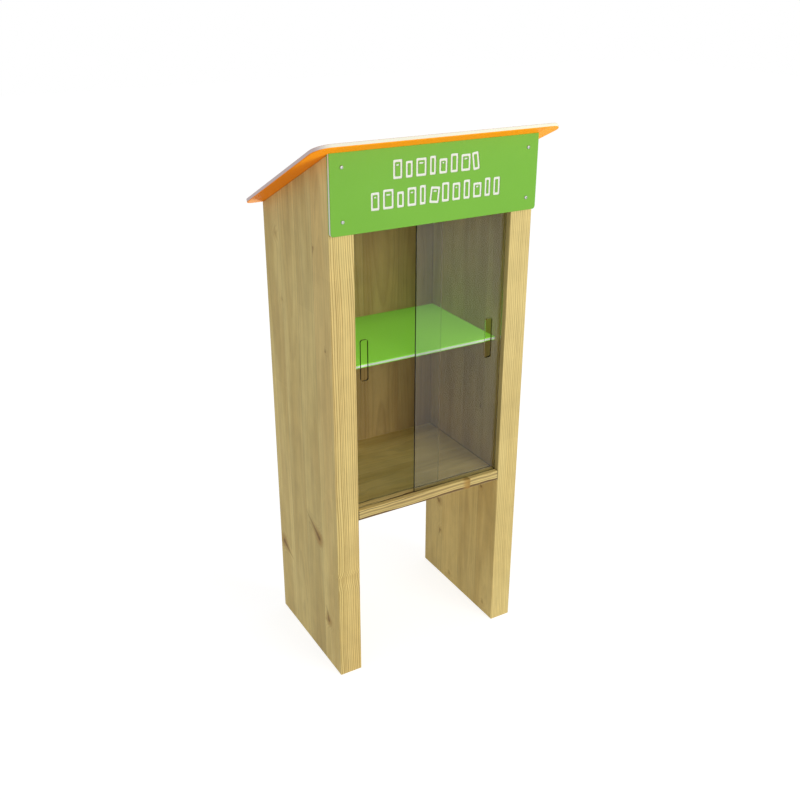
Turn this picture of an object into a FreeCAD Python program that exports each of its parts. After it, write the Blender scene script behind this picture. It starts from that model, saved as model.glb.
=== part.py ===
# Street book exchange box: two timber side panels carry a grooved floor board,
# a shelf, a back panel, two sliding glass doors, a sign board and a sloping roof.
# Millimetres. X runs to the right, Y from the front to the back, Z up.
# The origin is the middle of the overall footprint, on the ground.
import FreeCAD, Part
import math
import os

V = FreeCAD.Vector

# Carcass
outer_width = 600.0
side_depth = 400.0
side_front_height = 1500.0
side_thickness = 68.0
roof_slope_deg = 25.0
edge_radius = 2.0
floor_top_height = 535.0
floor_thickness = 30.0
back_thickness = 20.0
back_rebate_depth = 12.0
back_rebate_clearance = 0.5

# Door tracks
groove_width = 8.0
front_groove_inset = 14.0
track_pitch = 22.0
floor_groove_depth = 8.0
strip_thickness = 2.0
strip_side_clearance = 0.2
rail_cover = 20.0
rail_height = 45.0
rail_depth = 60.0
rail_groove_depth = 20.0

# Doors
glass_thickness = 6.0
door_overlap = 92.0
door_closing_gap = 1.0
door_run_clearance = 0.3
door_top_engagement = 8.0
glass_edge_chamfer = 0.8
slot_width = 22.0
slot_height = 115.0
slot_corner_radius = 6.0
slot_edge_distance = 43.0
slot_centre_rise = 422.0

# Shelf
lower_compartment_height = 398.0
shelf_thickness = 10.0
shelf_groove_clearance = 4.0
shelf_end_clearance = 0.5
shelf_edge_radius = 1.0
pin_diameter = 5.0
pin_hole_depth = 10.0
pin_reach = 12.0
pin_front_inset = 45.0
pin_back_inset = 60.0

# Sign board
sign_thickness = 13.0
sign_height = 190.0
sign_corner_radius = 8.0
sign_upper_corner_radius = 1.0
sign_edge_bevel = 0.8
sign_screw_side_inset = 32.0
sign_screw_bottom_inset = 33.0
sign_screw_top_inset = 28.0

# Roof sheet
roof_side_overhang = 50.0
roof_front_overhang = 59.0
roof_thickness = 10.0
roof_front_corner_radius = 40.0
roof_back_corner_radius = 20.0
roof_edge_bevel = 0.8
roof_screw_back_inset = 60.0
roof_screw_front_inset = 105.0
roof_screw_rows = 2

# Fasteners
screw_diameter = 5.0
screw_head_diameter = 9.0
screw_head_height = 2.5
sign_screw_length = 50.0
roof_screw_length = 50.0
back_screw_length = 40.0
back_screw_end_inset = 60.0
back_screw_rows = 3
back_screw_floor_count = 2
back_screw_floor_side_inset = 85.0
pilot_clearance = 0.05
clearance_hole_extra = 0.25
hole_bottom_clearance = 0.5
dowel_diameter = 10.0
dowel_length = 50.0
floor_dowel_end_inset = 70.0
floor_dowel_count = 3
rail_dowel_inset = 15.0

# Places that follow from the sizes
slope = math.radians(roof_slope_deg)
inner_half = outer_width / 2 - side_thickness
outer_half = outer_width / 2
back_height = side_front_height - side_depth * math.tan(slope)
roof_width = outer_width + 2 * roof_side_overhang
roof_length = side_depth / math.cos(slope) + roof_front_overhang
roof_run = roof_length * math.cos(slope)
front_y = (roof_run - roof_thickness * math.sin(slope)) / 2 - side_depth
back_y = front_y + side_depth
back_inner_y = back_y - back_thickness
floor_underside = floor_top_height - floor_thickness
shelf_underside = floor_top_height + lower_compartment_height
shelf_top_height = shelf_underside + shelf_thickness
sign_bottom_height = side_front_height - sign_height
rail_underside_height = sign_bottom_height + rail_cover
rail_top_height = rail_underside_height + rail_height
groove_fronts = [front_y + front_groove_inset, front_y + front_groove_inset + track_pitch]
rear_groove_back = groove_fronts[1] + groove_width
shelf_front_y = rear_groove_back + shelf_groove_clearance
strip_top_height = floor_top_height - floor_groove_depth + strip_thickness
door_bottom_height = strip_top_height + door_run_clearance
door_top_height = rail_underside_height + door_top_engagement
door_outer_x = inner_half - door_closing_gap
door_width = door_outer_x + door_overlap / 2
slot_centre_height = floor_top_height + slot_centre_rise
sign_front_y = front_y - sign_thickness
side_centre_x = outer_half - side_thickness / 2
floor_board_depth = side_depth - back_thickness
floor_dowel_pitch = (floor_board_depth - 2 * floor_dowel_end_inset) / (floor_dowel_count - 1)
floor_dowel_height = floor_underside + (floor_thickness - floor_groove_depth) / 2
rail_dowel_height = rail_top_height - (rail_height - rail_groove_depth) / 2
back_screw_x = inner_half + back_rebate_depth / 2
back_screw_floor_pitch = 2 * (inner_half - back_screw_floor_side_inset) / (back_screw_floor_count - 1)
roof_screw_span = side_depth / math.cos(slope) - roof_screw_back_inset - roof_screw_front_inset
roof_screw_pitch = roof_screw_span / (roof_screw_rows - 1)

# How far a cutting shape runs past a face, and how close counts as the same place
through = 5.0
same = 1e-6


def roof_height(y):
    """Height of the roof's underside above a place between front and back."""
    return side_front_height - (y - front_y) * math.tan(slope)


def box(x0, x1, y0, y1, z0, z1):
    return Part.makeBox(x1 - x0, y1 - y0, z1 - z0, V(x0, y0, z0))


def rod(diameter, start, direction, length):
    return Part.makeCylinder(diameter / 2, length, V(*start), V(*direction))


def side_profile_solid(points, x0, x1):
    """A flat shape drawn in the Y-Z plane, extruded across X."""
    wire = Part.makePolygon([V(x0, y, z) for y, z in points + points[:1]])
    return Part.Face(wire).extrude(V(x1 - x0, 0, 0))


def edges_along(shape, axis, keep=None):
    """Straight edges parallel to an axis, optionally only those that a test keeps."""
    found = []
    for edge in shape.Edges:
        if len(edge.Vertexes) != 2:
            continue
        run = edge.Vertexes[1].Point - edge.Vertexes[0].Point
        if run.Length > 0 and abs(abs(run.dot(axis)) - run.Length) < same:
            if keep is None or keep(edge.CenterOfMass):
                found.append(edge)
    return found


def rounded_plate(x0, x1, y0, y1, thickness, radii):
    """A plate in X-Y from z 0 up, with its own radius at each corner.

    The radii go anticlockwise from the corner at low x and low y.
    """
    plate = box(x0, x1, y0, y1, 0, thickness)
    corners = [(x0, y0), (x1, y0), (x1, y1), (x0, y1)]
    for (cx, cy), radius in zip(corners, radii):
        def at_corner(p, cx=cx, cy=cy):
            return abs(p.x - cx) < same and abs(p.y - cy) < same
        plate = plate.makeFillet(radius, edges_along(plate, V(0, 0, 1), at_corner))
    return plate


def bevel_rims(plate, low, high, amount):
    """Bevel the two outlines of a flat plate between heights low and high."""
    rims = [e for e in plate.Edges if all(abs(v.Z - low) < same for v in e.Vertexes)]
    rims += [e for e in plate.Edges if all(abs(v.Z - high) < same for v in e.Vertexes)]
    return plate.makeChamfer(amount, rims)


def screw(length):
    """A screw that stands head up on z 0, its shank reaching down."""
    head = Part.makeCylinder(screw_head_diameter / 2, screw_head_height)
    shank = Part.makeCylinder(screw_diameter / 2, length, V(0, 0, -length))
    return head.fuse(shank)


def laid(shape, place, tilt_deg):
    """Tip a shape about X, then move it to its place."""
    copy = shape.copy()
    copy.rotate(V(0, 0, 0), V(1, 0, 0), tilt_deg)
    copy.translate(V(*place))
    return copy


def dowel(x, y, z):
    return rod(dowel_diameter, (x - dowel_length / 2, y, z), (1, 0, 0), dowel_length)


def dowel_hole(x, y, z):
    reach = dowel_length / 2 + hole_bottom_clearance
    return rod(dowel_diameter + 2 * pilot_clearance, (x - reach, y, z), (1, 0, 0), 2 * reach)


# Fastener places
floor_dowels = [
    (side * inner_half, front_y + floor_dowel_end_inset + row * floor_dowel_pitch, floor_dowel_height)
    for side in (-1, 1) for row in range(floor_dowel_count)]
rail_dowels = [
    (side * inner_half, y, rail_dowel_height)
    for side in (-1, 1)
    for y in (front_y + rail_dowel_inset, front_y + rail_depth - rail_dowel_inset)]
sign_screws = [
    (side * (outer_half - sign_screw_side_inset), sign_front_y, z)
    for side in (-1, 1)
    for z in (sign_bottom_height + sign_screw_bottom_inset, side_front_height - sign_screw_top_inset)]
shelf_pins = [
    (side, y, shelf_underside - pin_diameter / 2)
    for side in (-1, 1)
    for y in (shelf_front_y + pin_front_inset, back_inner_y - pin_back_inset)]

back_screw_low = floor_top_height + back_screw_end_inset
back_screw_high = roof_height(back_y) - back_screw_end_inset
back_screw_step = (back_screw_high - back_screw_low) / (back_screw_rows - 1)
back_screws = [
    (side * back_screw_x, back_y, back_screw_low + row * back_screw_step)
    for side in (-1, 1) for row in range(back_screw_rows)]
back_screws += [
    (back_screw_floor_side_inset - inner_half + i * back_screw_floor_pitch, back_y, floor_dowel_height)
    for i in range(back_screw_floor_count)]


def on_roof(x, from_back, height=0.0):
    """A point over the roof's underside, measured up the slope from its back edge."""
    y = back_y - from_back * math.cos(slope) + height * math.sin(slope)
    z = back_height + from_back * math.sin(slope) + height * math.cos(slope)
    return (x, y, z)


roof_screws = [
    (side * side_centre_x, roof_screw_back_inset + row * roof_screw_pitch)
    for side in (-1, 1) for row in range(roof_screw_rows)]


def pilot(place, tilt_deg, length):
    """The hole that a screw's shank fills, from its head's seat to past its tip."""
    depth = length + hole_bottom_clearance
    hole = Part.makeCylinder(screw_diameter / 2 + pilot_clearance, depth, V(0, 0, -depth))
    return laid(hole, place, tilt_deg)


def pin_hole(side, y, z):
    start = (side * (inner_half - through), y, z)
    length = through + pin_hole_depth + hole_bottom_clearance
    return rod(pin_diameter + 2 * pilot_clearance, start, (side, 0, 0), length)


# A screw drawn head up turns by these angles to face the front, the back or the roof
facing_front = 90.0
facing_back = -90.0
facing_roof = -roof_slope_deg


def side_panel(side):
    """One upright, with its sloping top, back rebate and holes."""
    x0, x1 = sorted((side * outer_half, side * inner_half))
    outline = [
        (front_y, 0.0), (back_y, 0.0), (back_y, back_height), (front_y, side_front_height)]
    panel = side_profile_solid(outline, x0, x1)
    rims = [e for e in panel.Edges if len({round(v.X, 6) for v in e.Vertexes}) == 1]
    panel = panel.makeFillet(edge_radius, rims)
    rebate_x = sorted((side * (inner_half - through), side * (inner_half + back_rebate_depth)))
    rebate_top = roof_height(back_inner_y) + through
    tools = [box(rebate_x[0], rebate_x[1], back_inner_y, back_y + through,
                 floor_underside, rebate_top)]
    tools += [dowel_hole(x, y, z) for x, y, z in floor_dowels + rail_dowels if x * side > 0]
    tools += [pilot(p, facing_front, sign_screw_length) for p in sign_screws if p[0] * side > 0]
    tools += [pilot(on_roof(x, s, roof_thickness), facing_roof, roof_screw_length)
              for x, s in roof_screws if x * side > 0]
    tools += [pilot(p, facing_back, back_screw_length)
              for p in back_screws if p[0] * side > inner_half]
    tools += [pin_hole(side, y, z) for s, y, z in shelf_pins if s == side]
    return panel.cut(tools)


def floor_board():
    """The compartment floor, with a groove for each door."""
    board = box(-inner_half, inner_half, front_y, back_inner_y, floor_underside, floor_top_height)
    nose = edges_along(board, V(1, 0, 0), lambda p: abs(p.y - front_y) < same)
    board = board.makeFillet(edge_radius, nose)
    tools = [
        box(-inner_half - through, inner_half + through, y, y + groove_width,
            floor_top_height - floor_groove_depth, floor_top_height + through)
        for y in groove_fronts]
    tools += [dowel_hole(x, y, z) for x, y, z in floor_dowels]
    tools += [pilot(p, facing_back, back_screw_length) for p in back_screws if abs(p[0]) < inner_half]
    return board.cut(tools)


def glide_strip(track):
    """A plastic strip on the bottom of one floor groove, which the glass slides on."""
    y = groove_fronts[track]
    bottom = floor_top_height - floor_groove_depth
    return box(-inner_half, inner_half, y + strip_side_clearance,
               y + groove_width - strip_side_clearance, bottom, bottom + strip_thickness)


def track_rail():
    """The upper rail, with grooves deep enough to lift the doors out."""
    rail = box(-inner_half, inner_half, front_y, front_y + rail_depth,
               rail_underside_height, rail_top_height)
    rail = rail.makeFillet(edge_radius, edges_along(
        rail, V(1, 0, 0), lambda p: abs(p.y - front_y - rail_depth) < same))
    tools = [
        box(-inner_half - through, inner_half + through, y, y + groove_width,
            rail_underside_height - through, rail_underside_height + rail_groove_depth)
        for y in groove_fronts]
    tools += [dowel_hole(x, y, z) for x, y, z in rail_dowels]
    return rail.cut(tools)


def back_panel():
    """The back, let into the uprights and bevelled to the roof's slope."""
    half = inner_half + back_rebate_depth - back_rebate_clearance
    outline = [
        (back_inner_y, floor_underside), (back_y, floor_underside),
        (back_y, roof_height(back_y)), (back_inner_y, roof_height(back_inner_y))]
    panel = side_profile_solid(outline, -half, half)
    return panel.cut([pilot(p, facing_back, back_screw_length) for p in back_screws])


def shelf():
    half = inner_half - shelf_end_clearance
    board = box(-half, half, shelf_front_y, back_inner_y, shelf_underside, shelf_top_height)
    nose = edges_along(board, V(1, 0, 0), lambda p: abs(p.y - shelf_front_y) < same)
    return board.makeFillet(shelf_edge_radius, nose)


def shelf_pin(side, y, z):
    """A peg let into the upright, which the shelf lies on."""
    start = (side * (inner_half + pin_hole_depth), y, z)
    return rod(pin_diameter, start, (-side, 0, 0), pin_hole_depth + pin_reach)


def sign_board():
    """The board over the doors, its top bevelled to lie under the roof."""
    top_front = roof_height(sign_front_y)
    plate = rounded_plate(
        -outer_half, outer_half, sign_bottom_height, top_front, sign_thickness,
        [sign_corner_radius, sign_corner_radius, sign_upper_corner_radius, sign_upper_corner_radius])
    plate = bevel_rims(plate, 0.0, sign_thickness, sign_edge_bevel)
    plate.rotate(V(0, 0, 0), V(1, 0, 0), 90)
    plate.translate(V(0, front_y, 0))
    above = [
        (sign_front_y - through, roof_height(sign_front_y - through)),
        (front_y + through, roof_height(front_y + through)),
        (front_y + through, top_front + through), (sign_front_y - through, top_front + through)]
    holes = [
        rod(screw_diameter + 2 * clearance_hole_extra, (x, y - through, z), (0, 1, 0),
            sign_thickness + 2 * through)
        for x, y, z in sign_screws]
    bevel = side_profile_solid(above, -outer_half - through, outer_half + through)
    return plate.cut([bevel] + holes)


def roof_sheet():
    half = roof_width / 2
    sheet = rounded_plate(
        -half, half, -roof_length, 0.0, roof_thickness,
        [roof_front_corner_radius, roof_front_corner_radius,
         roof_back_corner_radius, roof_back_corner_radius])
    sheet = bevel_rims(sheet, 0.0, roof_thickness, roof_edge_bevel)
    holes = [
        rod(screw_diameter + 2 * clearance_hole_extra, (x, -s, -through), (0, 0, 1),
            roof_thickness + 2 * through)
        for x, s in roof_screws]
    return laid(sheet.cut(holes), (0, back_y, back_height), facing_roof)


def glass_door(side, track):
    """One pane, closed against the wall on its side, with a slot to pull it by."""
    x0, x1 = sorted((side * door_outer_x, side * (door_outer_x - door_width)))
    y0 = groove_fronts[track] + (groove_width - glass_thickness) / 2
    pane = box(x0, x1, door_bottom_height, door_top_height, 0, glass_thickness)
    pane = bevel_rims(pane, 0.0, glass_thickness, glass_edge_chamfer)
    slot_x = side * (door_outer_x - slot_edge_distance)
    slot = rounded_plate(
        slot_x - slot_width / 2, slot_x + slot_width / 2,
        slot_centre_height - slot_height / 2, slot_centre_height + slot_height / 2,
        glass_thickness, [slot_corner_radius] * 4)
    pane = pane.cut(slot)
    pane.rotate(V(0, 0, 0), V(1, 0, 0), 90)
    pane.translate(V(0, y0 + glass_thickness, 0))
    return pane


nodes = {
    "side_panel_left": side_panel(-1),
    "side_panel_right": side_panel(1),
    "floor_board": floor_board(),
    "floor_dowels": Part.makeCompound([dowel(*p) for p in floor_dowels]),
    "glide_strip_front": glide_strip(0),
    "glide_strip_rear": glide_strip(1),
    "track_rail": track_rail(),
    "track_rail_dowels": Part.makeCompound([dowel(*p) for p in rail_dowels]),
    "back_panel": back_panel(),
    "back_panel_screws": Part.makeCompound([
        laid(screw(back_screw_length), p, facing_back) for p in back_screws]),
    "shelf": shelf(),
    "shelf_pins": Part.makeCompound([shelf_pin(*p) for p in shelf_pins]),
    "sign_board": sign_board(),
    "sign_board_screws": Part.makeCompound([
        laid(screw(sign_screw_length), p, facing_front) for p in sign_screws]),
    "roof_sheet": roof_sheet(),
    "roof_screws": Part.makeCompound([
        laid(screw(roof_screw_length), on_roof(x, s, roof_thickness), facing_roof)
        for x, s in roof_screws]),
    "door_left": glass_door(-1, 1),
    "door_right": glass_door(1, 0),
}

os.makedirs("parts", exist_ok=True)
for name, shape in nodes.items():
    shape.exportStep("parts/" + name + ".step")
    extent = shape.BoundBox
    print("%-20s solids %2d  valid %s  x %.1f..%.1f  y %.1f..%.1f  z %.1f..%.1f" % (
        name, len(shape.Solids), shape.isValid(), extent.XMin, extent.XMax,
        extent.YMin, extent.YMax, extent.ZMin, extent.ZMax))
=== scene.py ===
import math

import bmesh
import bpy
from mathutils import Matrix, Vector


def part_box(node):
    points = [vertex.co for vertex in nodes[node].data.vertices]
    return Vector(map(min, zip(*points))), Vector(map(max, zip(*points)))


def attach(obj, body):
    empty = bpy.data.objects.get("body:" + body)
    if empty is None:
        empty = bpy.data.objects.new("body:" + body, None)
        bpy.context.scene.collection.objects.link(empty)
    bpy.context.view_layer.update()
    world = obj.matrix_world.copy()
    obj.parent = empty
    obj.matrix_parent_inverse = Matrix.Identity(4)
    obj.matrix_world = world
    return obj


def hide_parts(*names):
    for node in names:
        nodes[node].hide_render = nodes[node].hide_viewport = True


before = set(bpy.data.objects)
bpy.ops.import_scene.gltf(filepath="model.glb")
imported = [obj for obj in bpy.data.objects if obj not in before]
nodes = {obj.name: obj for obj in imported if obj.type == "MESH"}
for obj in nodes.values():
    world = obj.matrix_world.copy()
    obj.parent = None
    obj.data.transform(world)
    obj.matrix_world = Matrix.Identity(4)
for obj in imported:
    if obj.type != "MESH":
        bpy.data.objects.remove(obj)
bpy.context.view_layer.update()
scene = bpy.context.scene

X, Y, Z = 0, 1, 2
WHITE = (1.0, 1.0, 1.0, 1.0)


def lin(r, g, b):
    """A colour written in 0 to 255 display values, as linear light."""
    return tuple(
        c / 255 / 12.92 if c <= 10 else ((c / 255 + 0.055) / 1.055) ** 2.4 for c in (r, g, b)) + (1.0,)


class Net:
    """A small writer of the shader nodes of a material or a world."""

    def __init__(self, owner):
        owner.use_nodes = True
        self.owner = owner
        self.nodes = owner.node_tree.nodes
        self.links = owner.node_tree.links
        self.nodes.clear()
        self.coords = None

    def add(self, kind, inputs=None, **settings):
        node = self.nodes.new("ShaderNode" + kind)
        for key, value in settings.items():
            setattr(node, key, value)
        for key, value in (inputs or {}).items():
            self.feed(node.inputs[key], value)
        return node

    def feed(self, socket, value):
        if isinstance(value, bpy.types.NodeSocket):
            self.links.new(value, socket)
        elif value is not None:
            socket.default_value = value

    def math(self, operation, a, b=None, c=None, clamp=False):
        node = self.add("Math", {0: a, 1: b, 2: c}, operation=operation, use_clamp=clamp)
        return node.outputs[0]

    def times(self, first, *others):
        """The product of two or more values."""
        for other in others:
            first = self.math("MULTIPLY", first, other)
        return first

    def scale_add(self, value, factor, offset):
        return self.math("MULTIPLY_ADD", value, factor, offset)

    def ramp(self, value, low, high, out_low=0.0, out_high=1.0, smooth=True):
        """A step from out_low to out_high as the value goes from low to high, eased unless smooth is off."""
        kind = "SMOOTHSTEP" if smooth else "LINEAR"
        node = self.add("MapRange", {
            "Value": value, "From Min": low, "From Max": high, "To Min": out_low, "To Max": out_high},
            interpolation_type=kind)
        return node.outputs["Result"]

    def mix(self, factor, a, b, blend="MIX"):
        node = self.add("Mix", data_type="RGBA", blend_type=blend)
        self.feed(node.inputs["Factor"], factor)
        self.feed(node.inputs["A"], a)
        self.feed(node.inputs["B"], b)
        return node.outputs["Result"]

    def shaded(self, colour, factors):
        """A colour with its red, green and blue each multiplied by a factor."""
        return self.mix(1.0, colour, self.vector(*factors), "MULTIPLY")

    def blend(self, factor, first, second):
        """A mix of two shaders."""
        return self.add("MixShader", {0: factor, 1: first, 2: second}).outputs[0]

    def vector(self, x, y, z):
        return self.add("CombineXYZ", {0: x, 1: y, 2: z}).outputs[0]

    def noise(self, vector, scale=1.0, detail=2.0, roughness=0.5):
        node = self.add("TexNoise", {
            "Vector": vector, "Scale": scale, "Detail": detail, "Roughness": roughness})
        return node.outputs["Fac"]

    def stretched(self, place, scales, detail=2.0, roughness=0.5, offsets=(None, None, None)):
        """Noise with its own scale, and if wanted its own offset, along each of three coordinates."""
        parts = []
        for value, scale, offset in zip(place, scales, offsets):
            part = self.times(value, scale)
            parts.append(part if offset is None else self.math("ADD", part, offset))
        return self.noise(self.vector(*parts), 1.0, detail, roughness)

    def chance(self, value):
        """A number from 0 to 1 that is random, but always the same for one value."""
        return self.add("TexWhiteNoise", {"W": value}, noise_dimensions="1D").outputs["Value"]

    def place(self):
        """The shaded point in the model's frame: its three coordinates, and all three as a vector."""
        if self.coords is None:
            point = self.add("TexCoord").outputs["Object"]
            split = self.add("SeparateXYZ", {0: point})
            self.coords = (split.outputs[X], split.outputs[Y], split.outputs[Z], point)
        return self.coords

    def normal(self, axis):
        surface = self.add("NewGeometry").outputs["True Normal"]
        return self.add("SeparateXYZ", {0: surface}).outputs[axis]

    def facing(self, axis):
        """How squarely the surface faces along one axis, from 0 to 1."""
        return self.math("ABSOLUTE", self.normal(axis))

    def bump(self, height, strength, distance):
        return self.add("Bump", {
            "Height": height, "Strength": strength, "Distance": distance}).outputs["Normal"]

    def seen(self, light):
        """1 where the camera sees the surface itself, or its mirror image, or sees it through glass."""
        mirrored = self.math("MAXIMUM", light.outputs["Is Camera Ray"], light.outputs["Is Glossy Ray"])
        return self.math("MAXIMUM", mirrored, light.outputs["Is Transmission Ray"])

    def principled(self, **inputs):
        names = {key.replace("_", " "): value for key, value in inputs.items()}
        return self.add("BsdfPrincipled", names).outputs["BSDF"]

    def finish(self, shader, output="OutputMaterial"):
        self.add(output, {"Surface": shader})
        return self.owner


def new_net(name):
    return Net(bpy.data.materials.new(name))


# Pine
PINE_EARLY = lin(223, 199, 127)
PINE_LATE = lin(156, 122, 56)
PINE_GREEN = lin(196, 168, 98)
PINE_DARK_LATE = lin(92, 60, 24)
PINE_PINK = lin(216, 184, 116)
KNOT_HEART = lin(100, 70, 18)
KNOT_HALO = lin(164, 124, 52)
RING_SPACING = 0.006
# Late wood darkens slowly through a ring and stops sharply. Some years' is deeper than others'
LATE_RISE = (0.38, 0.86)
LATE_FALL = (1.0, 0.88)
YEAR_DEPTH = (0.65, 0.60)
# Rings lie closer and wider in turn: how fast that changes through them, and by how many rings at most
UNEVEN_SCALE = 60.0
UNEVEN_RINGS = 1.8
# Staves and the lengths they are jointed from: how far each is shifted in the pattern, and how bright it is
BLOCK_LENGTH = 0.62
BLOCK_STEP = 7.0
STAVE_SHIFT = 3.0
SEED_SHIFT = 1.7
STAVE_TONE = (0.10, 0.925)
BLOCK_TONE = (0.07, 0.965)
# Noises: scales through the board, across it and along it, then detail and roughness
DRIFT = ((3.0, 5.0, 1.1), 2.0, 0.45)
DRIFT_DEPTH = 0.055
WAVER_THROUGH = 16.0
WAVER_ACROSS = 22.0
BROAD = ((8.0, 11.0, 1.6), 3.0, 0.55)
BLUSH = ((5.0, 7.0, 1.3), 2.0, 0.5)
FIBRE = ((260.0, 260.0, 7.0), 2.0, 0.5)
STREAK = ((150.0, 150.0, 2.4), 2.0, 0.5)
PORES = ((420.0, 420.0, 20.0), 1.0, 0.5)
MOTTLE = ((24.0, 24.0, 13.0), 3.0, 0.6)
# What they do: from and to in the noise, or in metres from the seam or joint, then in brightness
FIBRE_TONE = (0.25, 0.75, 0.98, 1.02, False)
STREAK_TONE = (0.25, 0.75, 0.962, 1.030, False)
PORES_TONE = (0.60, 0.72, 1.0, 0.90)
MOTTLE_TONE = (0.30, 0.70, 0.925, 1.060, False)
SEAM_TONE = (0.0002, 0.0012, 0.76, 1.0)
# Painted shade in the joints where a board meets the uprights
PAINTED_JOINT_SHADE = (0.0006, 0.0034, 0.30, 1.0)
BROAD_SHARE = (0.42, 0.64)
BROAD_BY_FACE = (0.30, 0.72)
BLUSH_SHARE = (0.50, 0.70, 0.0, 0.45)
# Where a surface counts as the board's edge and where as its face
FACE_TURN = (0.35, 0.8)
# Heights of late wood, fibres and seams in the bump, which is this strong and this deep
LATE_RELIEF = 0.6
FIBRE_RELIEF = 0.5
SEAM_RELIEF = 0.8
SEAM_WIDTH = 0.0009
PINE_BUMP = (0.30, 0.0004)
# How rough early wood is, and what late wood and fibres add to it
EARLY_ROUGHNESS = 0.50
LATE_ROUGHNESS = -0.10
FIBRE_ROUGHNESS = 0.18
# A knot's edge is ragged by a noise with these scales across, along and through the board
RAGGED = (230.0, 110.0, 60.0)
RAGGEDNESS = 1.1
TAIL_TAPER = 0.82
TAIL_FADE = 0.75
# Where the core and the halo start and are full, in radii from the middle of the knot
CORE_REACH = (1.30, 0.25)
HALO_REACH = (5.5, 0.5)
HEART_SHARE = 0.90
HALO_SHARE = (0.25, 1.0, 0.0, 0.80)


def knot_marks(net, board, knots):
    """Two masks over a board: the cores of its knots with their tails, and the wider halos.

    Each knot is (across, along, radius, tail across, tail along, darkness, swirl), the tail
    being the brown streak that tapers away from its core.
    """
    u, v, w = board
    heart = None
    halo = None
    ragged = net.stretched((v, w, u), RAGGED)
    for centre_v, centre_w, size, tail_v, tail_w, darkness, swirl in knots:
        dv = net.math("SUBTRACT", v, centre_v)
        dw = net.math("SUBTRACT", w, centre_w)
        tail_square = tail_v * tail_v + tail_w * tail_w
        along_tail = net.times(dw, tail_w / tail_square)
        step = net.math("MULTIPLY_ADD", dv, tail_v / tail_square, along_tail, clamp=True)
        off_v = net.scale_add(step, -tail_v, dv)
        off_w = net.scale_add(step, -tail_w, dw)
        off = net.add("VectorMath", {0: net.vector(off_v, off_w, 0.0)}, operation="LENGTH")
        near = net.math("DIVIDE", off.outputs["Value"], net.scale_add(step, -TAIL_TAPER * size, size))
        near = net.scale_add(net.math("SUBTRACT", ragged, 0.5), RAGGEDNESS, near)
        fading = net.scale_add(step, -TAIL_FADE, 1.0)
        core = net.times(net.ramp(near, *CORE_REACH), darkness, fading)
        ring = net.times(net.ramp(near, *HALO_REACH), swirl, fading)
        heart = core if heart is None else net.math("MAXIMUM", heart, core)
        halo = ring if halo is None else net.math("MAXIMUM", halo, ring)
    return heart, halo


def late_share(net, radius, spacing):
    """How much dark late wood shows at a distance through the rings, which differ in width and depth."""
    uneven = net.noise(net.vector(net.times(radius, UNEVEN_SCALE), 0.0, 0.0), 1.0, 1.0)
    rings = net.scale_add(uneven, UNEVEN_RINGS, net.math("DIVIDE", radius, spacing))
    phase = net.math("FRACT", rings)
    year = net.chance(net.math("FLOOR", rings))
    return net.times(
        net.ramp(phase, *LATE_RISE), net.ramp(phase, *LATE_FALL), net.scale_add(year, *YEAR_DEPTH))


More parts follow.
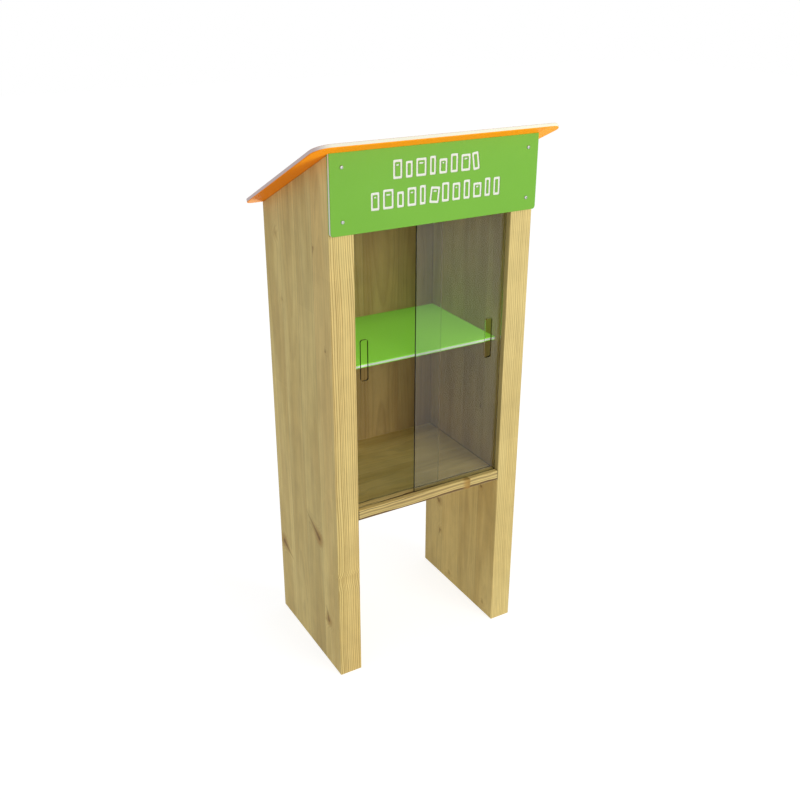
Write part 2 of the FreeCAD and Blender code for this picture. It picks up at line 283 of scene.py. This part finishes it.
def pine(name, axes, stave, first_edge, seed, knots=(), bow=7.0, twist=0.018, wave=0.005, wave_rate=3.2,
         ring_spacing=RING_SPACING, ring_depth=0.80, late_wood=PINE_LATE, figure=0.24, face_light_and_shade=1.0,
         tint=(1.0, 1.0, 1.0), joint_shade_at=None):
    """Planed pine glued up from staves that are themselves finger-jointed from short lengths.

    axes are those of the board's thickness, width and grain, and the staves start at
    first_edge across it. Growth rings are nearly flat sheets across the thickness, so they
    show as fine lines on the edges and as broad figure on the faces. bow curves them over a
    stave, wave and wave_rate make them waver along it, and twist bends them round knots.
    ring_depth is how dark late wood is on an edge, and figure the share of it on a face.
    face_light_and_shade multiplies the brightness of the faces against the edges: painted light
    above 1, painted shade below 1. Painted shade darkens the board in the joint at plus and
    minus joint_shade_at along its grain.
    """
    net = new_net(name)
    board = tuple(net.place()[axis] for axis in axes)
    u, v, w = board
    face = net.facing(axes[0])

    def by_face(on_edge, on_face):
        return net.ramp(face, *FACE_TURN, on_edge, on_face)

    index = net.math("FLOOR", net.math("DIVIDE", net.math("SUBTRACT", v, first_edge), stave))
    middle = net.scale_add(net.math("ADD", index, 0.5), stave, first_edge)
    local = net.math("SUBTRACT", v, middle)
    stave_chance = net.chance(net.math("ADD", index, seed))
    shift = net.scale_add(stave_chance, STAVE_SHIFT, seed * SEED_SHIFT)
    block = net.math("FLOOR", net.math("DIVIDE", net.math("ADD", w, shift), BLOCK_LENGTH))
    block_chance = net.chance(net.math("ADD", net.scale_add(index, BLOCK_STEP, block), seed))

    drift = net.stretched(board, *DRIFT, offsets=(None, shift, shift))
    waver = net.stretched(
        board, (WAVER_THROUGH, WAVER_ACROSS, wave_rate), offsets=(None, shift, None))
    curve = net.times(net.times(local, local), bow)
    radius = net.math("ADD", net.math("ADD", u, curve), net.scale_add(drift, DRIFT_DEPTH, shift))
    radius = net.scale_add(waver, wave, radius)
    if knots:
        heart, halo = knot_marks(net, board, knots)
        radius = net.scale_add(halo, twist, radius)
    late = net.times(late_share(net, radius, ring_spacing), by_face(1.0, figure))

    broad = net.stretched(board, *BROAD, offsets=(None, shift, shift))
    blush = net.stretched(board, *BLUSH, offsets=(None, net.times(shift, -1.0), None))
    fibre = net.stretched(board, *FIBRE)
    streak = net.stretched(board, *STREAK)
    pores = net.stretched(board, *PORES)
    mottle = net.stretched(board, *MOTTLE)
    seam = net.math("SUBTRACT", stave / 2, net.math("ABSOLUTE", local))

    greenish = net.times(net.ramp(broad, *BROAD_SHARE), by_face(*BROAD_BY_FACE))
    colour = net.mix(greenish, PINE_EARLY, PINE_GREEN)
    colour = net.mix(net.ramp(blush, *BLUSH_SHARE), colour, PINE_PINK)
    colour = net.mix(net.times(late, ring_depth), colour, late_wood)
    tone = net.times(
        net.scale_add(stave_chance, *STAVE_TONE),
        net.scale_add(block_chance, *BLOCK_TONE),
        net.ramp(fibre, *FIBRE_TONE),
        net.ramp(streak, *STREAK_TONE),
        net.ramp(seam, *SEAM_TONE),
        net.ramp(pores, *PORES_TONE),
        net.ramp(mottle, *MOTTLE_TONE),
        # The faces' factor paints light on them above 1 and shade below 1
        by_face(1.0, face_light_and_shade))
    # Painted shade in the joint at each end of the board
    if joint_shade_at:
        gap = net.math("SUBTRACT", joint_shade_at, net.math("ABSOLUTE", w))
        tone = net.times(tone, net.ramp(gap, *PAINTED_JOINT_SHADE))
    colour = net.shaded(colour, (net.times(tone, share) for share in tint))
    if knots:
        colour = net.mix(net.ramp(halo, *HALO_SHARE), colour, KNOT_HALO)
        colour = net.mix(net.times(heart, HEART_SHARE), colour, KNOT_HEART)

    relief = net.scale_add(late, LATE_RELIEF, net.times(fibre, FIBRE_RELIEF))
    relief = net.scale_add(net.ramp(seam, 0.0, SEAM_WIDTH), SEAM_RELIEF, relief)
    rough = net.scale_add(fibre, FIBRE_ROUGHNESS, net.scale_add(late, LATE_ROUGHNESS, EARLY_ROUGHNESS))
    return net.finish(net.principled(
        Base_Color=colour, Roughness=rough, Specular_IOR_Level=0.28,
        Normal=net.bump(relief, *PINE_BUMP)))


# Two-colour sheet with a white core
CORE_WHITE = lin(236, 234, 226)
SKIN_DEPTH = 0.0012
# The line between skin and core wanders by this much, and is this soft
SKIN_FLUTTER = 0.0003
SKIN_BLUR = 0.00012
SHEET_FLUTTER = (60.0, 60.0, 60.0)
SHEET_GRAIN = (1400.0, 2.0, 0.6)
SHEET_CLOUD = (5.0, 3.0, 0.5)
SHEET_SCUFFS = ((260.0, 90.0, 30.0), 3.0, 0.6)
SHEET_BUMP = (0.16, 0.0003)
# Brightness from the large cloudy noise and from the grain, and roughness from scuffs
CLOUD_TONE = (0.3, 0.7, 0.975, 1.025, False)
GRAIN_TONE = (0.2, 0.8, 0.98, 1.02, False)
SCUFF_ROUGHNESS = (0.35, 0.75, 0.42, 0.56, False)
CORE_ROUGHNESS = 0.12


def sheet(name, skin, normal, point, thickness, skin_depth=SKIN_DEPTH, far_skin=SKIN_DEPTH, gloss=0.25,
          core_colour=CORE_WHITE):
    """Through-coloured sheet: skins of one colour over a pale core that shows at cut edges.

    normal and point give the plane of its under or front face, and far_skin is the skin on the
    other face.
    """
    net = new_net(name)
    x, y, z, position = net.place()
    n = Vector(normal).normalized()
    dot = net.add("VectorMath", {0: position, 1: tuple(n)}, operation="DOT_PRODUCT").outputs["Value"]
    depth = net.math("SUBTRACT", dot, n.dot(Vector(point)))
    inside = net.math("MINIMUM", depth, net.math("SUBTRACT", thickness + skin_depth - far_skin, depth))
    flutter = net.stretched((x, y, z), SHEET_FLUTTER)
    reach = net.scale_add(flutter, SKIN_FLUTTER, skin_depth - SKIN_FLUTTER / 2)
    core = net.ramp(net.math("SUBTRACT", inside, reach), -SKIN_BLUR, SKIN_BLUR)
    grain = net.noise(position, *SHEET_GRAIN)
    cloud = net.noise(position, *SHEET_CLOUD)
    scuff = net.stretched((x, y, z), *SHEET_SCUFFS)
    tone = net.times(net.ramp(cloud, *CLOUD_TONE), net.ramp(grain, *GRAIN_TONE))
    colour = net.shaded(net.mix(core, skin, core_colour), (tone, tone, tone))
    rough = net.math("ADD", net.ramp(scuff, *SCUFF_ROUGHNESS), net.times(core, CORE_ROUGHNESS))
    return net.finish(net.principled(
        Base_Color=colour, Roughness=rough, Specular_IOR_Level=gloss,
        Normal=net.bump(grain, *SHEET_BUMP)))


# Glass. Its edges count as ground where they turn from the pane's faces, and carry near-black painted shade,
# darker towards low x
GLASS_CLEAR = lin(250, 252, 250)
EDGE_SHADE_DARK = lin(5, 9, 7)
EDGE_SHADE_PALE = lin(15, 22, 18)
SHADOW_TINT = lin(248, 250, 248)
SCATTER_TINT = lin(200, 202, 199)
EDGE_TURN = (0.9, 0.5)
EDGE_SIDES = (-0.4, 0.7, 0.98, 0.42)
FAINT_BLUR = 0.001
SMEARS = ((9.0, 9.0, 5.0), 3.0)
SMEAR_ROUGHNESS = (0.5, 0.9, 0.0, 0.02, False)
FROST_GRAIN = 900.0


def glass(name, ior, faint_from, faintness):
    """Clear pane with ground edges in near-black painted shade, which is faint beyond faint_from on X."""
    net = new_net(name)
    x, y, z, position = net.place()
    edge = net.times(
        net.ramp(net.facing(Y), *EDGE_TURN),
        net.ramp(net.normal(X), *EDGE_SIDES),
        net.ramp(x, faint_from - FAINT_BLUR, faint_from + FAINT_BLUR, 1.0, faintness))
    smear = net.stretched((x, y, z), *SMEARS)
    clear = net.principled(
        Base_Color=GLASS_CLEAR, Roughness=net.ramp(smear, *SMEAR_ROUGHNESS),
        IOR=ior, Transmission_Weight=1.0)
    frost = net.noise(position, FROST_GRAIN)
    # Near-black painted shade on the edges, standing for how dark a pane's edge looks through its depth
    ground = net.principled(
        Base_Color=net.mix(frost, EDGE_SHADE_DARK, EDGE_SHADE_PALE), Roughness=0.4,
        Specular_IOR_Level=0.25, Normal=net.bump(frost, 0.2, 0.0002))
    # Light that goes on to the pieces behind passes straight through
    light = net.add("LightPath")
    tint = net.mix(light.outputs["Is Diffuse Ray"], SHADOW_TINT, SCATTER_TINT)
    passing = net.add("BsdfTransparent", {"Color": tint}).outputs[0]
    through = net.math("MAXIMUM", light.outputs["Is Shadow Ray"], light.outputs["Is Diffuse Ray"])
    return net.finish(net.blend(through, net.blend(edge, clear, ground), passing))


# Steel and plastic
STEEL_DARK = lin(158, 162, 156)
STEEL_PALE = lin(186, 190, 184)
BRUSH = ((500.0, 500.0, 4000.0), 3.0)
BRUSH_ROUGHNESS = (0.2, 0.8, 0.42, 0.56, False)
PLASTIC_GRAIN = 1200.0
PLASTIC_TONE = (0.2, 0.8, 0.9, 1.1, False)
PLASTIC_ROUGHNESS = (0.2, 0.8, 0.35, 0.5, False)
STRIP_GREY = lin(46, 46, 46)


def steel(name):
    net = new_net(name)
    brush = net.stretched(net.place()[:3], *BRUSH)
    colour = net.mix(brush, STEEL_DARK, STEEL_PALE)
    return net.finish(net.principled(
        Base_Color=colour, Metallic=1.0, Roughness=net.ramp(brush, *BRUSH_ROUGHNESS),
        Normal=net.bump(brush, 0.12, 0.0001)))


def plastic(name, colour):
    net = new_net(name)
    grain = net.noise(net.place()[3], PLASTIC_GRAIN)
    tone = net.ramp(grain, *PLASTIC_TONE)
    return net.finish(net.principled(
        Base_Color=net.shaded(colour, (tone, tone, tone)),
        Roughness=net.ramp(grain, *PLASTIC_ROUGHNESS), Normal=net.bump(grain, 0.1, 0.0002)))


def set_material(obj, material):
    obj.data.materials.clear()
    obj.data.materials.append(material)
    for polygon in obj.data.polygons:
        polygon.material_index = 0


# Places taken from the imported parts
side_low, side_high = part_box("side_panel_left")
sign_low, sign_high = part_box("sign_board")
shelf_low, shelf_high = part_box("shelf")
back_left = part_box("back_panel")[0].x
floor_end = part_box("floor_board")[1].x
left_door_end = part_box("door_left")[1].x
right_door_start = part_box("door_right")[0].x
FRONT = side_low.y
SLOPE = math.radians(25.0)
ROOF_NORMAL = (0.0, math.sin(SLOPE), math.cos(SLOPE))
ROOF_THICKNESS = 0.010
# The roof's under face passes through the uprights' upper rear edge
under_roof = Vector((0, side_high.y, side_high.z - (side_high.y - side_low.y) * math.tan(SLOPE)))

# The uprights' knots, as the picture shows them: see knot_marks for the seven numbers
left_knots = [
    (FRONT + 0.090, 1.262, 0.0035, 0.003, -0.034, 0.75, 0.55),
    (FRONT + 0.038, 1.004, 0.0040, 0.002, 0.014, 0.75, 0.50),
    (FRONT + 0.116, 0.406, 0.0095, 0.082, 0.052, 0.85, 0.95),
    (FRONT + 0.374, 0.254, 0.0095, -0.060, -0.030, 0.85, 0.95),
    (FRONT + 0.070, 0.152, 0.0075, 0.014, 0.046, 0.80, 0.90),
    (FRONT + 0.325, 1.246, 0.0070, 0.004, 0.030, 0.22, 0.55),
    (FRONT + 0.300, 1.068, 0.0065, 0.004, 0.026, 0.22, 0.50),
    (FRONT - 0.002, 0.335, 0.0110, 0.002, 0.010, 0.06, 0.40)]
right_knots = [
    (FRONT + 0.082, 0.443, 0.0050, 0.002, 0.020, 0.75, 0.60),
    (FRONT + 0.317, 0.274, 0.0080, 0.030, 0.020, 0.70, 0.70),
    (FRONT + 0.307, 0.166, 0.0060, 0.010, -0.030, 0.55, 0.60),
    (FRONT + 0.245, 0.029, 0.0060, 0.002, 0.020, 0.45, 0.50),
    (FRONT + 0.050, 0.034, 0.0060, 0.002, 0.020, 0.45, 0.50),
    (FRONT + 0.104, 0.704, 0.0050, 0.002, 0.018, 0.60, 0.50)]
floor_knots = [(FRONT, 0.132, 0.0070, 0.0, 0.004, 0.25, 1.0)]
back_knots = [(-0.13, 0.70, 0.0060, 0.004, 0.030, 0.5, 0.6)]

# Materials
UPRIGHT_STAVE = 0.100
UPRIGHT_EDGE = FRONT - 0.004
BOARD_EDGE = FRONT - 0.01
set_material(nodes["side_panel_left"], pine(
    "pine_side_left", (X, Y, Z), UPRIGHT_STAVE, UPRIGHT_EDGE, seed=3.0, knots=left_knots,
    tint=(0.980, 0.995, 1.010)))
set_material(nodes["side_panel_right"], pine(
    "pine_side_right", (X, Y, Z), UPRIGHT_STAVE, UPRIGHT_EDGE, seed=11.0, knots=right_knots,
    # Painted shade on this upright's faces
    wave=0.003, ring_depth=0.56, face_light_and_shade=0.93, tint=(0.995, 1.012, 1.048)))
set_material(nodes["floor_board"], pine(
    "pine_floor", (Z, Y, X), 0.19, BOARD_EDGE, seed=23.0, knots=floor_knots, twist=0.002,
    wave=0.017, wave_rate=7.0, ring_spacing=0.0085, late_wood=PINE_DARK_LATE, figure=0.14,
    # Painted light on the floor board's faces, and painted shade in the joints at its ends
    face_light_and_shade=1.45, tint=(0.90, 0.895, 0.90), joint_shade_at=floor_end))
set_material(nodes["track_rail"], pine("pine_rail", (Z, Y, X), 0.12, BOARD_EDGE, seed=31.0))
# Its tint is painted shade: the back panel's wood darkened and reddened for the dim inside of the cabinet
set_material(nodes["back_panel"], pine(
    "pine_back", (Y, X, Z), 0.118, back_left, seed=41.0, knots=back_knots, tint=(0.78, 0.68, 0.67)))
beech = pine("beech_dowel", (Y, Z, X), 0.5, -0.1, seed=51.0)
for name in ("floor_dowels", "track_rail_dowels"):
    set_material(nodes[name], beech)

SIGN_GREEN = lin(114, 176, 49)
SHELF_GREEN = lin(119, 183, 55)
# The shelf's core is painted grey: painted shade on its cut edges, which the shelf lamp lights strongly
SHELF_CORE_SHADED = lin(170, 172, 164)
ROOF_ORANGE = (0.94, 0.272, 0.010, 1.0)
ROOF_CORE = lin(222, 204, 203)
green_sign = sheet(
    "green_sign", SIGN_GREEN, (0, 1, 0), (0, sign_low.y, 0), sign_high.y - sign_low.y,
    skin_depth=0.0016, far_skin=0.0045)
set_material(nodes["sign_board"], green_sign)
set_material(nodes["shelf"], sheet(
    "green_shelf", SHELF_GREEN, (0, 0, 1), (0, 0, shelf_low.z), shelf_high.z - shelf_low.z,
    skin_depth=0.0024, far_skin=0.0024, core_colour=SHELF_CORE_SHADED))
set_material(nodes["roof_sheet"], sheet(
    "orange_roof", ROOF_ORANGE, ROOF_NORMAL, under_roof, ROOF_THICKNESS,
    skin_depth=0.0018, far_skin=0.0004, gloss=0.04, core_colour=ROOF_CORE))

# Both panes mirror less than real glass does, as in the picture. The rear one's far edge is faint behind the
# front one, which has all but its near edge faint
REAR_IOR = 1.09
FRONT_IOR = 1.33
set_material(nodes["door_left"], glass(
    "rear_door_glass", REAR_IOR, faint_from=left_door_end - 0.003, faintness=0.15))
set_material(nodes["door_right"], glass(
    "front_door_glass", FRONT_IOR, faint_from=right_door_start + 0.02, faintness=0.35))
steel_material = steel("screw_steel")
for name in ("back_panel_screws", "shelf_pins", "sign_board_screws", "roof_screws"):
    set_material(nodes[name], steel_material)
strip_material = plastic("glide_plastic", STRIP_GREY)
for name in ("glide_strip_front", "glide_strip_rear"):
    set_material(nodes[name], strip_material)


# Routed sign
WELD_DISTANCE = 1e-6


def outline(width, height, radius, corner_steps=4):
    """A rectangle with rounded corners round its own middle, anticlockwise from low x and low z."""
    points = []
    for turn, (sx, sz) in enumerate(((-1, -1), (1, -1), (1, 1), (-1, 1))):
        cx = sx * (width / 2 - radius)
        cz = sz * (height / 2 - radius)
        for step in range(corner_steps + 1):
            angle = math.pi * (1.0 + 0.5 * turn) + 0.5 * math.pi * step / corner_steps
            points.append((cx + radius * math.cos(angle), cz + radius * math.sin(angle)))
    return points


def add_prism(bm, loops, matrix, depth):
    """A cutter from -depth to +depth on local Y, drawn by one outline or by an outer and an inner one."""
    rings = [
        [[bm.verts.new(matrix @ Vector((x, y, z))) for x, z in loop] for loop in loops]
        for y in (-depth, depth)]
    count = len(loops[0])
    for side in range(len(loops)):
        for i in range(count):
            j = (i + 1) % count
            bm.faces.new((rings[0][side][i], rings[0][side][j], rings[1][side][j], rings[1][side][i]))
    for ring in rings:
        if len(loops) == 1:
            bm.faces.new(ring[0])
            continue
        for i in range(count):
            j = (i + 1) % count
            bm.faces.new((ring[0][i], ring[0][j], ring[1][j], ring[1][i]))


def linked(name, data):
    """A new object in the scene, with the given mesh, lamp or camera."""
    obj = bpy.data.objects.new(name, data)
    scene.collection.objects.link(obj)
    return obj


def mesh_of(bm, name):
    """The finished mesh of a bmesh, its faces turned outwards."""
    bmesh.ops.recalc_face_normals(bm, faces=bm.faces[:])
    mesh = bpy.data.meshes.new(name)
    bm.to_mesh(mesh)
    bm.free()
    return mesh


def carved(node, name, cutter_bm, material):
    """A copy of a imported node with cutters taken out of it, in the node's own place."""
    cutter = linked(name + "_cutter", mesh_of(cutter_bm, name + "_cutter"))
    welded = bmesh.new()
    welded.from_mesh(nodes[node].data)
    bmesh.ops.remove_doubles(welded, verts=welded.verts[:], dist=WELD_DISTANCE)
    mesh = bpy.data.meshes.new(name)
    welded.to_mesh(mesh)
    welded.free()
    if "custom_normal" in mesh.attributes:
        mesh.attributes.remove(mesh.attributes["custom_normal"])
    piece = linked(name, mesh)
    cut = piece.modifiers.new("cut", "BOOLEAN")
    cut.operation = "DIFFERENCE"
    cut.solver = "EXACT"
    cut.object = cutter
    result = bpy.data.meshes.new_from_object(piece.evaluated_get(bpy.context.evaluated_depsgraph_get()))
    piece.modifiers.clear()
    piece.data = result
    bpy.data.objects.remove(cutter)
    for polygon in result.polygons:
        polygon.use_smooth = False
    set_material(piece, material)
    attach(piece, "cabinet")
    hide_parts(node)
    return piece


STROKE = 0.0062
ROUTED_DEPTH = 0.002
SPINE_GAP = 0.009
SPINE_CORNER = 0.0030
INNER_CORNER = 0.0012
# A spine wider than this has a band near its top
BANDED_WIDTH = 0.023
BAND_HEIGHT = 0.0042
BAND_INSET = 0.005
BAND_RISE = 0.22
# Each row of spines: left end, foot, then the widths and heights from left to right
spine_rows = [
    (-0.130, 1.430, (0.026, 0.020, 0.030, 0.018, 0.024, 0.022, 0.028, 0.020),
     (0.046, 0.040, 0.044, 0.046, 0.037, 0.046, 0.042, 0.045)),
    (-0.191, 1.360, (0.024, 0.030, 0.020, 0.026, 0.018, 0.028, 0.022, 0.024, 0.020, 0.026, 0.018, 0.020),
     (0.044, 0.048, 0.039, 0.046, 0.048, 0.041, 0.048, 0.044, 0.048, 0.038, 0.047, 0.046))]
# The spines that lean, counted over both rows, and their lean in degrees
spine_leans = {7: 8.0, 13: -7.0}
routing = bmesh.new()
spine = 0
for left, foot, widths, heights in spine_rows:
    for width, height in zip(widths, heights):
        lean = math.radians(spine_leans.get(spine, 0.0))
        inner_width = width - 2 * STROKE
        stand = Matrix.Translation((left + width / 2, sign_low.y, foot)) @ Matrix.Rotation(-lean, 4, "Y")
        stand = stand @ Matrix.Translation((0, 0, height / 2))
        add_prism(routing, (
            outline(width, height, SPINE_CORNER),
            outline(inner_width, height - 2 * STROKE, INNER_CORNER)), stand, ROUTED_DEPTH)
        if width > BANDED_WIDTH:
            band = stand @ Matrix.Translation((0, 0, BAND_RISE * height))
            add_prism(
                routing, (outline(inner_width - BAND_INSET, BAND_HEIGHT, INNER_CORNER),), band, ROUTED_DEPTH)
        left += width + SPINE_GAP
        spine += 1
carved("sign_board", "routed_sign_board", routing, green_sign)

# Screws with crowned heads and hexagonal sockets, each turned about its own axis
SCREW_STEPS = 24
HEAD_HEIGHT = 0.0025
SHANK_RADIUS = 0.0025
TIP_LENGTH = 0.006
TIP_RADIUS = 0.0006
SOCKET_RADIUS = 0.0019
SOCKET_FLOOR = 0.0011
HEAD_PROFILE = ((0.0045, 0.0), (0.0045, 0.0011), (0.0042, 0.0017), (0.0035, 0.0022), (0.0026, HEAD_HEIGHT))
# Points this close to a screw's axis belong to it, and points this level with its top are its rim
SCREW_REACH = 0.015
RIM_DEPTH = 1e-5
SHARP_ANGLE = math.radians(35.0)
TURN_STEP = 1.1


def head_tops(node, along):
    """The middle of each screw's head: the points furthest along a direction, one for each screw."""
    groups = []
    for vertex in nodes[node].data.vertices:
        for group in groups:
            apart = vertex.co - group[0]
            if (apart - along * apart.dot(along)).length < SCREW_REACH:
                group.append(vertex.co.copy())
                break
        else:
            groups.append([vertex.co.copy()])
    found = []
    for group in groups:
        top = max(point.dot(along) for point in group)
        rim = [point for point in group if top - point.dot(along) < RIM_DEPTH]
        low = Vector(min(point[axis] for point in rim) for axis in range(3))
        high = Vector(max(point[axis] for point in rim) for axis in range(3))
        found.append((low + high) / 2)
    return found


def circle(radius, height):
    angles = [2 * math.pi * step / SCREW_STEPS for step in range(SCREW_STEPS)]
    return [Vector((radius * math.cos(angle), radius * math.sin(angle), height)) for angle in angles]


def hexagon(radius, height):
    """A hexagon walked in the same steps as the circles, so that the two join face to face."""
    flat = radius * math.cos(math.pi / 6)
    points = []
    for point in circle(1.0, 0.0):
        angle = math.atan2(point.y, point.x) % (math.pi / 3) - math.pi / 6
        points.append(Vector((point.x * flat / math.cos(angle), point.y * flat / math.cos(angle), height)))
    return points


def add_screw(bm, matrix, length):
    rings = [
        circle(TIP_RADIUS, -length), circle(SHANK_RADIUS, TIP_LENGTH - length), circle(SHANK_RADIUS, 0.0)]
    rings += [circle(radius, height) for radius, height in HEAD_PROFILE]
    rings += [hexagon(SOCKET_RADIUS, HEAD_HEIGHT), hexagon(SOCKET_RADIUS, SOCKET_FLOOR)]
    drawn = [[bm.verts.new(matrix @ point) for point in ring] for ring in rings]
    for lower, upper in zip(drawn, drawn[1:]):
        for i in range(SCREW_STEPS):
            j = (i + 1) % SCREW_STEPS
            bm.faces.new((lower[i], lower[j], upper[j], upper[i]))
    bm.faces.new(drawn[0])
    bm.faces.new(drawn[-1])


# Each set of screws: its node, the way the heads point, and the screws' length below the head
screw_sets = (
    ("sign_board_screws", (0, -1, 0), 0.050),
    ("roof_screws", ROOF_NORMAL, 0.050),
    ("back_panel_screws", (0, 1, 0), 0.040))
for turn, (node, direction, length) in enumerate(screw_sets):
    along = Vector(direction).normalized()
    stand = Vector((0, 0, 1)).rotation_difference(along).to_matrix().to_4x4()
    bm = bmesh.new()
    for index, top in enumerate(head_tops(node, along)):
        spin = Matrix.Rotation(TURN_STEP * index + turn, 4, "Z")
        add_screw(bm, Matrix.Translation(top - along * HEAD_HEIGHT) @ stand @ spin, length)
    mesh = mesh_of(bm, "crowned_" + node)
    for polygon in mesh.polygons:
        polygon.use_smooth = True
    mesh.set_sharp_from_angle(angle=SHARP_ANGLE)
    piece = linked("crowned_" + node, mesh)
    set_material(piece, steel_material)
    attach(piece, "cabinet")
    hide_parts(node)


# World and ground, both white where they are seen and grey for the light that they give
STUDIO_GREY = (0.545, 0.552, 0.560, 1.0)
GROUND_GREYS = ((0.78, 0.78, 0.78, 1.0), (0.80, 0.80, 0.80, 1.0))
GROUND_GLOW = 0.24
SEEN_GREY = (0.42, 0.42, 0.42, 1.0)
SEEN_GLOW = 0.785
HALF_GROUND = 14.0


def studio_world():
    net = Net(bpy.data.worlds.new("studio"))
    light = net.add("LightPath")
    unscattered = net.math("LESS_THAN", light.outputs["Diffuse Depth"], 0.5)
    studio = net.add("Background", {"Color": STUDIO_GREY}).outputs[0]
    white = net.add("Background", {"Color": WHITE}).outputs[0]
    return net.finish(net.blend(net.times(net.seen(light), unscattered), studio, white), "OutputWorld")


def ground_material():
    net = new_net("pale_ground")

    def lit(colour, glow):
        """A matt colour that also shines a little by itself."""
        return net.add("AddShader", {
            0: net.add("BsdfDiffuse", {"Color": colour}).outputs[0],
            1: net.add("Emission", {"Color": WHITE, "Strength": glow}).outputs[0]}).outputs[0]

    mottled = net.noise(net.place()[3], 3.0, 2.0)
    plain = lit(net.mix(mottled, *GROUND_GREYS), GROUND_GLOW)
    shown = lit(SEEN_GREY, SEEN_GLOW)
    return net.finish(net.blend(net.seen(net.add("LightPath")), plain, shown))


scene.world = studio_world()
ground_mesh = bpy.data.meshes.new("ground")
ground_mesh.from_pydata(
    [(sx * HALF_GROUND, sy * HALF_GROUND, 0) for sx, sy in ((-1, -1), (1, -1), (1, 1), (-1, 1))],
    [], [(0, 1, 2, 3)])
ground = linked("ground", ground_mesh)
ground.data.materials.append(ground_material())


# Lamps
def area_light(name, location, target, size, power, colour=(1.0, 1.0, 1.0)):
    data = bpy.data.lights.new(name, "AREA")
    data.shape = "SQUARE"
    data.size = size
    data.energy = power
    data.color = colour
    lamp = linked(name, data)
    direction = Vector(target) - Vector(location)
    turn = direction.to_track_quat("-Z", "Y").to_matrix().to_4x4()
    lamp.matrix_world = Matrix.Translation(location) @ turn
    return lamp


def link_light(lamp, names, state):
    """Lets a lamp light the named nodes alone (INCLUDE), or all but the named nodes (EXCLUDE)."""
    group = bpy.data.collections.new(lamp.name + "_nodes")
    for name in names:
        group.objects.link(nodes[name])
    for member in group.collection_objects:
        member.light_linking.link_state = state
    lamp.light_linking.receiver_collection = group


# The key lamp is kept off the panes, so that they mirror the pale surroundings and not a bright square
key_lamp = area_light("key", (1.9, -4.6, 2.0), (0.0, 0.0, 0.75), 3.0, 121.0)
link_light(key_lamp, ("door_left", "door_right"), "EXCLUDE")

# A soft lamp through the doors, for the shelf alone
shelf_lamp = area_light("shelf_fill", (-0.1, -1.6, 2.3), (0.0, 0.04, 0.943), 0.9, 57.0)
link_light(shelf_lamp, ("shelf",), "INCLUDE")

# Two soft lamps from below for the roof alone: its under face in front, and behind the uprights
roof_lamp = area_light("roof_fill", (1.5, -3.0, 0.9), (0.0, FRONT, 1.5), 1.5, 54.0, (0.72, 1.38, 0.55))
back_lamp = area_light(
    "roof_back_fill", (0.45, 0.95, 0.08), (-0.3, 0.22, 1.31), 0.3, 20.0, (0.85, 1.20, 0.95))
for lamp in (roof_lamp, back_lamp):
    link_light(lamp, ("roof_sheet",), "INCLUDE")

# The camera stands where the picture was taken from
CAMERA_PLACE = Vector((-1.28487, -2.21105, 1.90992))
YAW = math.radians(30.146)
PITCH = math.radians(24.439)
ROLL = math.radians(0.129)
SENSOR_WIDTH = 36.0
LENS = 43.689
forward = Vector((math.sin(YAW) * math.cos(PITCH), math.cos(YAW) * math.cos(PITCH), -math.sin(PITCH)))
level = Vector((math.cos(YAW), -math.sin(YAW), 0.0))
upright = level.cross(forward)
right = level * math.cos(ROLL) + upright * math.sin(ROLL)
up = upright * math.cos(ROLL) - level * math.sin(ROLL)
camera_data = bpy.data.cameras.new("camera")
camera_data.sensor_width = SENSOR_WIDTH
camera_data.lens = LENS
camera = linked("camera", camera_data)
camera.matrix_world = Matrix.Translation(CAMERA_PLACE) @ Matrix((right, up, -forward)).transposed().to_4x4()
scene.camera = camera
scene.view_settings.view_transform = "Standard"
